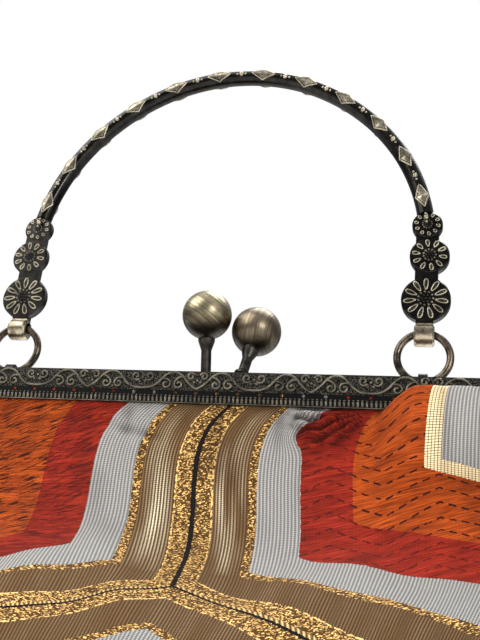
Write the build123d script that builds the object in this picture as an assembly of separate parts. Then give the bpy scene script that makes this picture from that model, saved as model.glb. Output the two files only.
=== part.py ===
from build123d import *
import os
from math import cos, pi, radians, sin

# A kiss-lock handbag: sewn cloth body on a hinged channel frame, with a cast arch handle on two rings.
# Millimetres. +X is the right side, -Y the front, +Z up. The origin is the middle of the base.

# Overall body
frame_top_z = 190.0
base_width = 200.0
base_depth = 100.0
cloth = 1.2
layer_gap = 0.3

# Channel frame, one pressed half in front and one behind
frame_width = 205.0
frame_height = 9.0
half_depth = 5.5
wall = 0.8
inner_lip = 6.5
arm_drop = 75.0
outer_corner = 16.0
mating_gap = 0.05
hole_radius = 0.5
hole_inset = 6.1
hole_pitch = 5.7

# Hinge at the foot of the arms
hinge_z = frame_top_z - arm_drop
ear_radius = 4.2
ear_relief = 4.7
ear_gap = 0.05
joggle_height = 5.0
strap_height = 12.0
rivet_radius = 1.2
rivet_head = (2.8, 1.6, 1.3)
rivet_tail_radius = 2.2
rear_ear_bore = 1.2
front_ear_bore = 1.28

# Crossed ball clasp: the balls are measured up from the frame's top
ball_radius = 6.8
stem_radius = 1.4
collar_radius = 2.3
stem_foot = 2.2
rear_stem_x = -0.1
front_stem_x = 11.1
rear_ball = (-0.58, -2.0, 17.8)
front_ball = (12.82, 2.0, 14.78)

# Rings and their eyes on the rear half
ring_x = 58.0
ring_y = half_depth / 2
ring_radius = 6.9
ring_wire = 1.0
ring_lift = 1.5
eye_bore = 1.35
eye_wall = 0.85
eye_width = 2.4
eye_foot = (2.6, 2.2, 0.6)

# Cast handle, measured up from the frame's top
rod_radius = 2.35
arch_apex = 101.3
arch_arcs = ((55.2, 27.9), (61.3, 57.8), (60.1, 84.5))
rosettes = ((58.2, 24.8, 6.6, 3.0), (58.9, 38.0, 5.4, 2.8), (58.1, 47.6, 4.2, 2.8))
rosette_bevel = 0.45
spine_left = 2.9
spine_right = 3.3
spine_half = 1.2
lug_width = 5.3
lug_radius = 3.0
lug_drop = 0.5
lug_bore = 1.65
lug_bevel = 0.5
neck_half = (2.3, 1.3)
neck_overlap = 5.0
diamond_long = 7.4
diamond_wide = 3.6
diamond_count = 12
relief = 0.2

eye_z = frame_top_z + ring_lift
ring_mid_z = eye_z + ring_radius
lug_z = ring_mid_z + ring_radius - 0.2

os.makedirs("parts", exist_ok=True)


def save(name, shape):
    """Writes one piece under its own name."""
    export_step(shape, f"parts/{name}.step")


def box(x0, x1, y0, y1, z0, z1):
    centre = Pos((x0 + x1) / 2, (y0 + y1) / 2, (z0 + z1) / 2)
    return centre * Box(x1 - x0, y1 - y0, z1 - z0)


def rod_x(radius, x0, x1, y, z):
    """A round bar lying along X."""
    return Pos((x0 + x1) / 2, y, z) * Rot(0, 90, 0) * Cylinder(radius, x1 - x0)


def arch_region(inset, foot):
    """The upside-down U outline of the frame, moved in by inset, as a face on XZ."""
    half = frame_width / 2 - inset
    top = frame_top_z - inset
    outline = Pos(0, (foot + top) / 2) * Rectangle(2 * half, top - foot)
    upper = outline.vertices().sort_by(Axis.Y)[-2:]
    return fillet(upper, max(outer_corner - inset, 1.5))


def arch_band(inset_out, inset_in, y0, y1):
    """A band of the U between two insets, y0 to y1 deep."""
    flat = arch_region(inset_out, hinge_z) - arch_region(inset_in, hinge_z - 10)
    return extrude(Plane.XZ.offset(-y1) * flat, y1 - y0)


def hole_places():
    """Sewing holes: even steps along the top bar, then down both arms."""
    top_z = frame_top_z - hole_inset
    side_x = frame_width / 2 - hole_inset
    count = int((side_x - outer_corner / 2) / hole_pitch)
    places = [(step * hole_pitch, top_z) for step in range(-count, count + 1)]
    arm_steps = int((arm_drop - outer_corner - ear_relief) / hole_pitch)
    for step in range(arm_steps):
        z = frame_top_z - outer_corner - step * hole_pitch
        places += [(-side_x, z), (side_x, z)]
    return places


def channel_half():
    """One pressed half behind the mating plane: outer edge, face wall and short inner wall."""
    edge = arch_band(0, wall, mating_gap, half_depth)
    face = arch_band(0, frame_height, half_depth - wall, half_depth)
    inner = arch_band(0, inner_lip, mating_gap, mating_gap + wall)
    half = edge + face + inner
    drill = Rot(90, 0, 0) * Cylinder(hole_radius, 3 * wall)
    holes = [Pos(x, half_depth - wall / 2, z) * drill for x, z in hole_places()]
    return half - holes


def ear_slots(x_in, x_out):
    """Round clearance for the other half's ear on both sides."""
    right = rod_x(ear_relief, x_in, x_out, 0, hinge_z)
    return right + mirror(right, Plane.YZ)


def both_sides(shape):
    return shape + mirror(shape, Plane.YZ)


def make_rear_frame():
    outer = frame_width / 2
    rear = channel_half() - ear_slots(outer - 3, outer - wall)
    ear = rod_x(ear_radius, outer - wall + ear_gap, outer, 0, hinge_z)
    ear += box(outer - wall + ear_gap, outer, 1.0, half_depth - 0.4, hinge_z, hinge_z + ear_relief)
    rear += both_sides(ear)
    bore = rod_x(rear_ear_bore, outer - 3, outer + 1, 0, hinge_z)
    return rear - both_sides(bore)


def make_front_frame():
    outer = frame_width / 2
    front = mirror(channel_half(), Plane.XZ)
    front -= ear_slots(outer - 3, outer + 1)
    x_out = outer - wall - ear_gap
    x_in = x_out - wall
    ear = rod_x(ear_radius, x_in, x_out, 0, hinge_z)
    ear += box(x_in, x_out, 1 - ear_radius, -2 * mating_gap, hinge_z, hinge_z + strap_height)
    joggle_z = hinge_z + ear_relief + 0.6
    ear += box(x_in, outer - wall / 2, -half_depth + wall / 2, -mating_gap, joggle_z, joggle_z + joggle_height)
    front += both_sides(ear)
    bore = rod_x(front_ear_bore, outer - 3, outer + 1, 0, hinge_z)
    return front - both_sides(bore)


def make_hinge_rivet(side):
    """Shouldered rivet: shaft through both ears, domed head outside, flat head inside."""
    outer = frame_width / 2
    inside = outer - 2 * wall - 2 * ear_gap
    shaft = rod_x(rivet_radius, inside - 0.4, outer + 0.4, 0, hinge_z)
    middle = outer + 0.02 + rivet_head[2] / 2
    head = Pos(middle, 0, hinge_z) * Rot(0, 90, 0) * Cone(*rivet_head)
    tail = rod_x(rivet_tail_radius, inside - 0.9, inside - 0.06, 0, hinge_z)
    rivet = shaft + head + tail
    return rivet if side > 0 else mirror(rivet, Plane.YZ)


def make_stem(base_x, base_y, ball):
    """Turned post with a foot on the frame and a flared collar under the ball."""
    foot = Vector(base_x, base_y, frame_top_z)
    centre = Vector(ball[0], ball[1], frame_top_z + ball[2])
    lean = (centre - foot).normalized()
    reach = (centre - foot).length
    neck = reach - ball_radius
    profile = Polyline(
        (0, 0), (stem_foot, 0), (stem_foot, 0.7), (stem_radius, 1.6), (stem_radius, neck - 3.0),
        (collar_radius, neck - 0.4), (collar_radius, neck + 0.6), (stem_radius, neck + 1.6), (0, neck + 1.6),
        close=True,
    )
    turned = revolve(Plane.XZ * make_face(profile), Axis.Z)
    post = Plane(origin=foot, z_dir=lean) * turned
    return post - box(-60, 60, -60, 60, frame_top_z - 10, frame_top_z)


def make_ball(ball, stem):
    centre = Pos(ball[0], ball[1], frame_top_z + ball[2])
    return centre * Sphere(ball_radius) - stem


def make_ring_eye(side):
    """Strap loop riveted on the rear half, its bore along X."""
    z = eye_z + 0.05
    loop = rod_x(eye_bore + eye_wall, ring_x - eye_width / 2, ring_x + eye_width / 2, ring_y, z)
    reach, half, height = eye_foot
    foot = box(ring_x - reach, ring_x + reach, ring_y - half, ring_y + half, frame_top_z, frame_top_z + height)
    bore = rod_x(eye_bore, ring_x - 2 * reach, ring_x + 2 * reach, ring_y, z)
    base = box(ring_x - 2 * reach, ring_x + 2 * reach, -8, 12, frame_top_z - 8, frame_top_z)
    eye = loop + foot - bore - base
    return eye if side > 0 else mirror(eye, Plane.YZ)


def make_ring(side):
    upright = Plane(origin=(side * ring_x, ring_y, ring_mid_z), z_dir=(0, 1, 0))
    return upright * Torus(ring_radius, ring_wire)


def arch_path():
    """Half arch from the apex to the top rosette, as tangent arcs, then its mirror image."""
    x, z, turned = 0.0, frame_top_z + arch_apex, 0.0
    edges = []
    for radius, angle in arch_arcs:
        a0, a1 = radians(turned), radians(angle)
        mid = (a0 + a1) / 2
        cx, cz = x - radius * sin(a0), z - radius * cos(a0)
        points = [(cx + radius * sin(a), ring_y, cz + radius * cos(a)) for a in (a0, mid, a1)]
        edges.append(ThreePointArc(*points))
        x, z, turned = points[-1][0], points[-1][2], angle
    return edges


def rosette_plane(x, z):
    return Plane(origin=(x, ring_y, frame_top_z + z), z_dir=(0, -1, 0))


def make_rosette(x, z, radius, thick):
    """Coin of one daisy rosette, with bevelled rims."""
    coin = Cylinder(radius, thick)
    return rosette_plane(x, z) * chamfer(coin.edges(), rosette_bevel)


def rosette_room(x, z, radius, thick):
    """The room in front of and behind one rosette, where the rod stops."""
    return rosette_plane(x, z) * (Cylinder(radius - rosette_bevel, 3 * thick) - Cylinder(radius, thick))


def rod_along(edges, radius):
    start = Plane(origin=(0, ring_y, frame_top_z + arch_apex), z_dir=(1, 0, 0))
    return sweep(start * Circle(radius), path=Wire(edges))


def lozenges(edges):
    """Raised lozenges along the front and back of the rod, following its roundness."""
    wire = Wire(edges)
    shape = Polygon((diamond_long / 2, 0), (0, diamond_wide / 2), (-diamond_long / 2, 0), (0, -diamond_wide / 2))
    tile = extrude(shape, 2 * rod_radius, both=True)
    half_count = diamond_count // 2
    tiles = Part()
    for step in range(half_count):
        at = (step + 0.5) / (half_count + 0.15)
        tiles += Plane(origin=wire.position_at(at), x_dir=wire.tangent_at(at), z_dir=(0, -1, 0)) * tile
    return rod_along(edges, rod_radius + relief) & tiles


def make_foot():
    """Spine that joins the rosettes, and the lug that hangs on the ring."""
    low = frame_top_z + rosettes[0][1]
    high = frame_top_z + rosettes[-1][1]
    front, back = ring_y - spine_half, ring_y + spine_half
    spine = box(ring_x - spine_left, ring_x + spine_right, front, back, low, high)
    side, half = neck_half
    neck = box(ring_x - side, ring_x + side, ring_y - half, ring_y + half, lug_z + lug_bore / 2, low - neck_overlap)
    barrel = rod_x(lug_radius, ring_x - lug_width / 2, ring_x + lug_width / 2, ring_y, lug_z - lug_drop)
    return spine + neck + chamfer(barrel.edges(), lug_bevel)


def make_handle():
    edges = arch_path()
    half = rod_along(edges, rod_radius) + lozenges(edges)
    half -= rosette_room(*rosettes[-1])
    half = half + [make_rosette(*rosette) for rosette in rosettes] + make_foot()
    half -= rod_x(lug_bore, ring_x - lug_width, ring_x + lug_width, ring_y, lug_z)
    return half + mirror(half, Plane.YZ)


# Body outline: height, half width, half depth and corner radius of each level
levels = (
    (0.0, base_width / 2, base_depth / 2, 34.0),
    (9.0, base_width / 2 + 9, base_depth / 2 + 4, 38.0),
    (34.0, base_width / 2 + 21, base_depth / 2 + 8, 44.0),
    (66.0, base_width / 2 + 24, base_depth / 2 + 10, 48.0),
    (92.0, base_width / 2 + 14, base_depth / 2 + 9, 48.0),
    (109.0, base_width / 2 - 7, base_depth / 2 + 6, 46.0),
    (119.0, 92.5, 51.0, 44.0),
    (127.0, 92.5, 44.0, 40.0),
    (133.0, 92.5, 35.0, 32.0),
    (139.0, 92.5, 25.0, 23.0),
    (145.0, 92.5, 16.0, 14.5),
    (152.0, 92.5, 10.0, 9.0),
    (161.0, 92.5, 6.5, 6.0),
    (172.5, 92.5, 4.6, 4.1),
    (187.5, 92.5, 4.5, 4.0),
)
corner_steps = 4
side_seam_x = 86.0
side_top_z = hinge_z - ear_relief - 1
lining_top = 179.0
board = 2.0


def outline(level, inset):
    """One level as a rounded rectangle of straight panels, whose sides stay parallel from level to level."""
    z, half_x, half_y, corner = level
    x, y = half_x - inset, half_y - inset
    radius = min(max(corner - inset, 0.2), y - 0.05)
    step = pi / 2 / corner_steps
    reach = radius / cos(step / 2)
    points = []
    for quarter, (sx, sy) in enumerate(((1, 1), (-1, 1), (-1, -1), (1, -1))):
        for count in range(corner_steps):
            angle = quarter * pi / 2 + (count + 0.5) * step
            points.append((sx * (x - radius) + reach * cos(angle), sy * (y - radius) + reach * sin(angle)))
    return Pos(0, 0, z) * make_face(Polyline(*points, close=True))


def body_solid(inset, floor_z, top_z):
    """The soft body's outline moved in by inset, from floor_z up to top_z."""
    used = [level for level, below in zip(levels, levels[:1] + levels[:-1]) if below[0] <= top_z]
    whole = loft([outline(level, inset) for level in used], ruled=True)
    return whole & box(-200, 200, -100, 100, floor_z, top_z)


def shell(outer_inset, floor_z, top_z):
    """One cloth thickness at outer_inset, open at the top and bottom."""
    inner = body_solid(outer_inset + cloth, floor_z - 1, top_z + 1)
    return body_solid(outer_inset, floor_z, top_z) - inner


def front_of(shape, seam_x):
    mouth = box(-150, 150, -90, -1.4, side_top_z, frame_top_z)
    upper = box(-150, 150, -90, -0.4, side_top_z, frame_top_z - frame_height)
    lower = box(-seam_x, seam_x, -90, 0, -1, side_top_z)
    return shape & (mouth + upper + lower)


def rear_of(shape, seam_x):
    return mirror(front_of(shape, seam_x), Plane.XZ)


def make_cloth():
    """Outer panels, sides and base; one wadding bucket; lining in two halves."""
    skin = shell(0, cloth, 187.5)
    front = front_of(skin, side_seam_x)
    save("outer_front_panel", front)
    save("outer_rear_panel", rear_of(skin, side_seam_x))
    sides = skin & box(side_seam_x + 0.2, 150, -90, 90, 0, side_top_z - 0.2)
    save("outer_side_right", sides)
    save("outer_side_left", mirror(sides, Plane.YZ))
    save("outer_base", body_solid(0, 0, cloth - 0.05))
    pad_in = cloth + layer_gap
    pad = shell(pad_in, cloth + layer_gap, side_top_z - 0.2)
    pad_floor = body_solid(pad_in, cloth + layer_gap, cloth + layer_gap + 1.5)
    save("wadding", pad + pad_floor)
    line_in = pad_in + cloth + layer_gap
    board_z = cloth + layer_gap + 1.5 + layer_gap
    board_plate = body_solid(line_in + 4, board_z, board_z + board)
    save("base_board", board_plate)
    lining_z = board_z + board + layer_gap
    lining = shell(line_in, lining_z, lining_top)
    front_lining = lining - box(-200, 200, -90, 90, 0, lining_z + cloth)
    save("lining_front", front_of(front_lining, side_seam_x - 4))
    behind = box(-200, 200, 0.4, 90, 0, frame_top_z)
    ends = both_sides(box(side_seam_x - 3.8, 200, -90, 0.5, 0, side_top_z - 0.2))
    rear_lining = lining & (behind + ends)
    lining_floor = body_solid(line_in, lining_z, lining_z + cloth)
    save("lining_rear", rear_lining + lining_floor)


def make_metal():
    save("rear_frame", make_rear_frame())
    save("front_frame", make_front_frame())
    for side, name in ((-1, "left"), (1, "right")):
        save(f"hinge_rivet_{name}", make_hinge_rivet(side))
        save(f"ring_eye_{name}", make_ring_eye(side))
        save(f"ring_{name}", make_ring(side))
    rear_stem = make_stem(rear_stem_x, half_depth / 2, rear_ball)
    front_stem = make_stem(front_stem_x, -half_depth / 2, front_ball)
    save("clasp_stem_rear", rear_stem)
    save("clasp_stem_front", front_stem)
    save("clasp_ball_rear", make_ball(rear_ball, rear_stem))
    save("clasp_ball_front", make_ball(front_ball, front_stem))
    save("handle", make_handle())


make_metal()
make_cloth()
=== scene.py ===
import math

import bpy
import numpy as np
from mathutils import Matrix, Vector


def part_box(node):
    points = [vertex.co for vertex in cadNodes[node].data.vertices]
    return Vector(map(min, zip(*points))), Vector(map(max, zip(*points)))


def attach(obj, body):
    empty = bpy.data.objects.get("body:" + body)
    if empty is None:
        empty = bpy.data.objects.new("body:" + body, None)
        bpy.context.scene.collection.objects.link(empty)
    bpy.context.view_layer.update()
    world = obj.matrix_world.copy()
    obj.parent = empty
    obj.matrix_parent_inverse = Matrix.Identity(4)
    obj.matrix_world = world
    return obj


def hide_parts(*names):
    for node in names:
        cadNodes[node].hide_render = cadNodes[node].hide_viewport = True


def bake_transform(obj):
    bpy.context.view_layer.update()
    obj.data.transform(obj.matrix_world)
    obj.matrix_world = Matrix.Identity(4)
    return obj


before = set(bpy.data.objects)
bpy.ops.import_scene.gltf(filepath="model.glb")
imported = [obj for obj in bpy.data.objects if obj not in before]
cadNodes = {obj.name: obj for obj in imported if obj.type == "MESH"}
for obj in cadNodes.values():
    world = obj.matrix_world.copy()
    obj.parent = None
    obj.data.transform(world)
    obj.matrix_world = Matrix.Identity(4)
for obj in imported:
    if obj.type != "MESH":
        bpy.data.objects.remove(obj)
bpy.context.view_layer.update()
mm = 0.001
print("stage: frame loaded")

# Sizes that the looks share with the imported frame
bag = {
    "topZ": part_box("rear_frame")[1][2] / mm,
    "halfWidth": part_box("rear_frame")[1][0] / mm,
    "faceY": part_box("rear_frame")[1][1] / mm,
    "cornerRadius": 16.0,
    "holeInset": 6.1,
    "holePitch": 5.7,
}

relief = {
    "motifPitch": 30.3,    # from one heart of the scroll band to the next
    "bandTop": 0.4,        # the rest are depths in from the frame's outer edge
    "bandFoot": 5.45,
    "dotRow": 6.95,
    "ribTop": 7.25,
    "ribFoot": 8.65,
    "ribPitch": 1.15,
    "lineRadius": 0.31,
    "lip": (8.84, 0.13),   # depth and radius of the smooth bead at the face's inner edge
    "dot": (0.27, 0.2),    # radius and height
    "dotSpots": ((0.0, 2.6), (-0.9, 3.1), (0.9, 3.1), (14.3, 3.1), (15.9, 3.1), (15.15, 2.0), (6.9, 4.6)),
    "armEnd": 168.0,       # how far down the arms the relief runs, along the outer edge
}


# Helpers
def selectOnly(obj):
    bpy.ops.object.select_all(action="DESELECT")
    obj.select_set(True)
    bpy.context.view_layer.objects.active = obj


def settle(obj):  # puts a piece's place into its mesh
    selectOnly(obj)
    bpy.ops.object.transform_apply(location=True, rotation=True, scale=True)
    return obj


def meshPiece(name, points, faces, material, smooth=True):
    mesh = bpy.data.meshes.new(name)
    places = [tuple(float(c) for c in point) for point in points]
    mesh.from_pydata(places, [], [tuple(int(i) for i in face) for face in faces])
    mesh.update()
    piece = bpy.data.objects.new(name, mesh)
    bpy.context.scene.collection.objects.link(piece)
    piece.data.materials.append(material)
    mesh.polygons.foreach_set("use_smooth", [smooth] * len(mesh.polygons))
    return piece


def smoothStep(low, high, value):
    t = np.clip((np.asarray(value, float) - low) / (high - low), 0, 1)
    return t * t * (3 - 2 * t)


def stampCopies(name, source, places, material, smooth=True):  # one piece of many copies
    base = np.array([v.co for v in source.data.vertices])
    polys = [tuple(p.vertices) for p in source.data.polygons]
    points, faces = [], []
    for place in places:
        turn = np.array(place)[:3, :3]
        shift = np.array(place)[:3, 3]
        start = len(points)
        points.extend(base @ turn.T + shift)
        faces.extend(tuple(i + start for i in p) for p in polys)
    bpy.data.objects.remove(source)
    return meshPiece(name, points, faces, material, smooth)


def tubes(name, lines, radius, material, closed=False, sides=1):  # round wires along lists of points
    curve = bpy.data.curves.new(name, "CURVE")
    curve.dimensions = "3D"
    curve.bevel_depth = radius
    curve.bevel_resolution = sides
    curve.use_fill_caps = not closed
    for line in lines:
        spline = curve.splines.new("POLY")
        spline.points.add(len(line) - 1)
        for point, place in zip(spline.points, line):
            point.co = (*place, 1)
        spline.use_cyclic_u = closed
    piece = bpy.data.objects.new(name, curve)
    bpy.context.scene.collection.objects.link(piece)
    selectOnly(piece)
    bpy.ops.object.convert(target="MESH")
    piece = bpy.context.view_layer.objects.active
    piece.data.materials.clear()
    piece.data.materials.append(material)
    piece.data.polygons.foreach_set("use_smooth", [True] * len(piece.data.polygons))
    return piece


def sized(x, y, z):
    return Matrix.Diagonal((x, y, z, 1))


def finishMetal(piece, body):
    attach(piece, body)
    return piece


# Materials
class Wire:  # a node's output, so that a material's sums can be written as plain arithmetic
    def __init__(self, graph, socket):
        self.graph, self.socket = graph, socket

    def __rsub__(self, other):
        return self.graph.math("SUBTRACT", other, self)


def wireSum(operation):
    return lambda self, other=0.0: self.graph.math(operation, self, other)


wireSums = {
    "add": "ADD",
    "sub": "SUBTRACT",
    "mul": "MULTIPLY",
    "truediv": "DIVIDE",
    "pow": "POWER",
    "gt": "GREATER_THAN",
    "lt": "LESS_THAN",
    "abs": "ABSOLUTE",
}
for sign, operation in wireSums.items():
    setattr(Wire, f"__{sign}__", wireSum(operation))


class Graph:  # a material, with short names for the nodes that it uses
    def __init__(self, name):
        self.material = bpy.data.materials.new(name)
        self.material.use_nodes = True
        self.tree = self.material.node_tree
        self.shader = self.tree.nodes["Principled BSDF"]

    def plug(self, socket, value):
        if isinstance(value, Wire):
            self.tree.links.new(value.socket, socket)
        else:
            socket.default_value = value

    def make(self, kind, inputs, output=0, **settings):
        node = self.tree.nodes.new(kind)
        for key, value in settings.items():
            setattr(node, key, value)
        for key, value in inputs.items():
            self.plug(node.inputs[key], value)
        return Wire(self, node.outputs[output])

    def math(self, operation, a, b=0.0, c=0.0, clamp=False):
        return self.make("ShaderNodeMath", {0: a, 1: b, 2: c}, operation=operation, use_clamp=clamp)

    def split(self, vector):
        node = self.make("ShaderNodeSeparateXYZ", {"Vector": vector}).socket.node
        return [Wire(self, output) for output in node.outputs]

    def objectPlace(self):
        return self.make("ShaderNodeTexCoord", {}, "Object")

    def stretch(self, vector, scale):
        return self.make("ShaderNodeMapping", {"Vector": vector, "Scale": scale})

    def noise(self, vector, scale, detail=3.0, roughness=0.55):
        values = {"Vector": vector, "Scale": scale, "Detail": detail, "Roughness": roughness}
        return self.make("ShaderNodeTexNoise", values, "Fac")

    def grain(self, vector, across, up, detail=3.0, roughness=0.55):  # drawn out along the threads
        return self.noise(self.stretch(vector, (across, up, 1.0)), 1.0, detail, roughness)

    def cells(self, vector, scale, output="Distance"):
        return self.make("ShaderNodeTexVoronoi", {"Vector": vector, "Scale": scale}, output, feature="F1")

    def ramp(self, factor, stops):
        node = self.tree.nodes.new("ShaderNodeValToRGB")
        elements = node.color_ramp.elements
        elements.remove(elements[-1])
        elements[0].position = stops[0][0]
        elements[0].color = asColour(stops[0][1])
        for position, colour in stops[1:]:
            elements.new(position).color = asColour(colour)
        self.plug(node.inputs["Fac"], factor)
        return Wire(self, node.outputs["Color"])

    def mix(self, factor, a, b):
        node = self.tree.nodes.new("ShaderNodeMix")
        node.data_type = "RGBA"
        self.plug(node.inputs["Factor"], factor)
        for place, colour in ((6, a), (7, b)):
            self.plug(node.inputs[place], colour if isinstance(colour, Wire) else asColour(colour))
        return Wire(self, node.outputs[2])

    def bump(self, height, distance, strength=1.0, normal=None):
        inputs = {"Height": height, "Distance": distance, "Strength": strength}
        if normal is not None:
            inputs["Normal"] = normal
        return self.make("ShaderNodeBump", inputs)

    def band(self, value, low, high):  # 1 between low and high
        return (value > low) * (value < high)

    def wave(self, value, pitch):  # rises from 0 to 1 and falls back once in each pitch
        return self.math("SINE", value * (2 * math.pi / pitch)) * 0.5 + 0.5

    def near(self, value, middle, reach):  # 1 at the middle, falling to 0 at the reach
        return self.math("SUBTRACT", 1.0, abs(value - middle) * (1 / reach), clamp=True)

    def finish(self, **inputs):
        for key, value in inputs.items():
            self.plug(self.shader.inputs[key.replace("_", " ")], value)
        return self.material


def asColour(value):
    if isinstance(value, (int, float)):
        return (value, value, value, 1)
    return (*value, 1)


metalLook = {
    "recess": (0.012, 0.011, 0.009),
    "patina": (0.045, 0.040, 0.031),
    "castDark": (0.005, 0.0046, 0.0038),
    "cast": (0.016, 0.014, 0.011),
    "pebble": (0.11, 0.098, 0.075),
    "pebbleGap": (0.006, 0.006, 0.005),
    "pebbleScale": 2100.0,
    "groove": (0.004, 0.004, 0.004),
    "polished": (0.46, 0.40, 0.29),
    "polishedDull": (0.13, 0.10, 0.065),
    "lugBelow": 0.2077,    # height of the handle's lower rosette rims
    "scratch": (0.035, 0.028, 0.018),
    "scratchScale": 2200.0,
    # dark colour painted over the balls' lower halves: painted shade of the underside, with patina near the stem
    "undersideShadeAndPatina": (0.018, 0.015, 0.011),
    "undersideShadeReach": 0.007,
}


def inFromEdge(g, place):  # how far in mm a point on the frame's face lies in from the frame's outer edge
    radius = bag["cornerRadius"]
    inMm = g.make("ShaderNodeVectorMath", {0: place, 1: (1 / mm, 1 / mm, 1 / mm)}, operation="MULTIPLY")
    x, _, z = g.split(inMm)
    sideways = g.math("MAXIMUM", abs(x) - (bag["halfWidth"] - radius), 0.0)
    upward = g.math("MAXIMUM", z - (bag["topZ"] - radius), 0.0)
    flat = g.make("ShaderNodeCombineXYZ", {0: sideways, 1: upward})
    return radius - g.make("ShaderNodeVectorMath", {0: flat}, "Value", operation="LENGTH")


def bronzeLook(g, place, dark, light, roughness, metallic=0.85):  # gives the colour and sets the rest
    wear, fine = g.noise(place, 420.0, 4.0), g.noise(place, 2600.0, 2.0)
    worn = g.bump(fine, 0.00006, 0.5, g.bump(wear, 0.0002, 0.35))
    g.finish(Metallic=metallic, Roughness=fine * 0.22 + (roughness - 0.1), Normal=worn)
    return g.mix(g.ramp(wear, [(0.38, 0.0), (0.66, 1.0)]), dark, light)


def antiqueMaterial(name, dark, light, roughness, metallic):
    g = Graph(name)
    return g.finish(Base_Color=bronzeLook(g, g.objectPlace(), dark, light, roughness, metallic))


def handleMaterial():  # dark cast bronze whose lugs, at the foot, are rubbed bright
    g = Graph("handleBronze")
    place = g.objectPlace()
    cast = bronzeLook(g, place, metalLook["castDark"], metalLook["cast"], 0.3)
    cloudy = g.ramp(g.noise(place, 300.0, 3.0), [(0.35, 0.0), (0.65, 1.0)])
    rubbed = g.mix(cloudy, metalLook["polishedDull"], metalLook["polished"])
    colour = g.mix(g.split(place)[2] < metalLook["lugBelow"], cast, rubbed)
    return g.finish(Base_Color=colour, Metallic=1.0, Coat_Weight=0.2, Coat_Roughness=0.14)


def frameMaterial():  # tiny pebbles in the scroll band and a blackened groove
    g = Graph("frameBronze")
    place = g.objectPlace()
    colour = bronzeLook(g, place, metalLook["recess"], metalLook["patina"], 0.42)
    depth = inFromEdge(g, place)
    pebble = g.ramp(g.cells(place, metalLook["pebbleScale"]), [(0.0, 1.0), (0.55, 0.0)])
    inBand = g.band(depth, relief["bandTop"], relief["bandFoot"])
    colour = g.mix(inBand, colour, g.mix(pebble, metalLook["pebbleGap"], metalLook["pebble"]))
    colour = g.mix(g.band(depth, relief["bandFoot"], relief["ribFoot"] + 0.1), colour, metalLook["groove"])
    return g.finish(Base_Color=colour, Normal=g.bump(pebble * inBand, 0.00025, 0.9))


def brushedMaterial(name, across, dark, light, shadeBelow):  # fine scratches, and painted shade on the lower half, with patina towards the stem
    g = Graph(name)
    place = g.objectPlace()
    along = g.make("ShaderNodeVectorMath", {0: place, 1: across}, "Value", operation="DOT_PRODUCT")
    lines = g.make("ShaderNodeCombineXYZ", {0: along * metalLook["scratchScale"]})
    spread = {0: place, 1: (70.0, 70.0, 70.0), 2: lines}
    streaks = g.noise(g.make("ShaderNodeVectorMath", spread, operation="MULTIPLY_ADD"), 1.0, 3.0)
    colour = g.mix(g.ramp(g.noise(place, 150.0, 3.0), [(0.3, 0.0), (0.72, 1.0)]), dark, light)
    colour = g.mix(g.ramp(streaks, [(0.36, 0.0), (0.68, 0.75)]), colour, metalLook["scratch"])
    # painted shade: below shadeBelow the ball is darkened, fading out over the reach above; near the stem it is
    # also patina
    rise = (g.split(place)[2] - shadeBelow) * (1 / metalLook["undersideShadeReach"])
    colour = g.mix(g.ramp(rise, [(0.0, 0.88), (1.0, 0.0)]), colour, metalLook["undersideShadeAndPatina"])
    g.finish(Base_Color=colour, Metallic=1.0, Roughness=streaks * 0.34 + 0.2)
    return g.finish(Normal=g.bump(streaks, 0.0001, 0.8))


# Brocade. Depths are in mm from the black boundary of a hexagon to the inner edge of each of its bands
weave = {
    "apothem": 84.0,       # half the width of a hexagon across its upright sides
    "rise": 0.62,          # slope of a slanted side
    "black": 0.58,
    "blackSloping": 0.32,
    "cord": 1.05,
    "sparkleEdge": 4.4,
    "brightLine": 4.8,
    "brown": 13.4,
    "sparkleThin": 15.4,
    "white": 26.0,
    "red": 38.5,
    "orange": 55.5,
    "foil": 59.4,
    "innerWhite": 68.3,
    "ragged": 0.7,         # how far the bands' edges wander
    "ribPitch": 0.86,      # of the silver ribs, which run upright
    "pinPitch": 0.78,      # of the ground's pinstripes
    "weftPitch": 0.56,
    "cordPitch": 1.1,
    "foilPitch": (0.78, 0.7),
    "slitPitch": 2.9,
    "slitRow": 4.4,
    "chevron": (6.0, 13.0, 0.5, 0.2),  # start, width, rise and fall of the rows of slits
    "glintMiddle": (9.0, 36.0),  # where the painted glints sit: beside the middle, and how high
    "glintReach": (3.85, 28.0),
}
silk = {
    "black": (0.006, 0.005, 0.005),
    "cordDark": (0.07, 0.035, 0.012),
    "cord": (0.80, 0.55, 0.24),
    "goldDark": (0.072, 0.034, 0.009),
    "goldBright": (1.0, 0.62, 0.21),
    "brightLine": (0.72, 0.46, 0.17),
    "brown": (0.065, 0.034, 0.012),
    "pinstripe": (0.21, 0.118, 0.052),
    # colour of the painted highlights on the ground
    "paintedGlint": (1.0, 0.88, 0.62),
    "white": (0.50, 0.485, 0.46),
    "whiteGap": (0.045, 0.042, 0.039),
    "red": (0.40, 0.030, 0.012),
    "redDark": (0.075, 0.004, 0.003),
    "orange": (0.56, 0.096, 0.011),
    "orangeDark": (0.10, 0.011, 0.002),
    "foil": (0.85, 0.70, 0.42),
    "foilGap": (0.10, 0.06, 0.025),
    "slit": (0.030, 0.006, 0.005),
    # deep red of the painted shade in the cloth's creases
    "paintedCreaseShade": (0.02, 0.004, 0.003),
}


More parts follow.
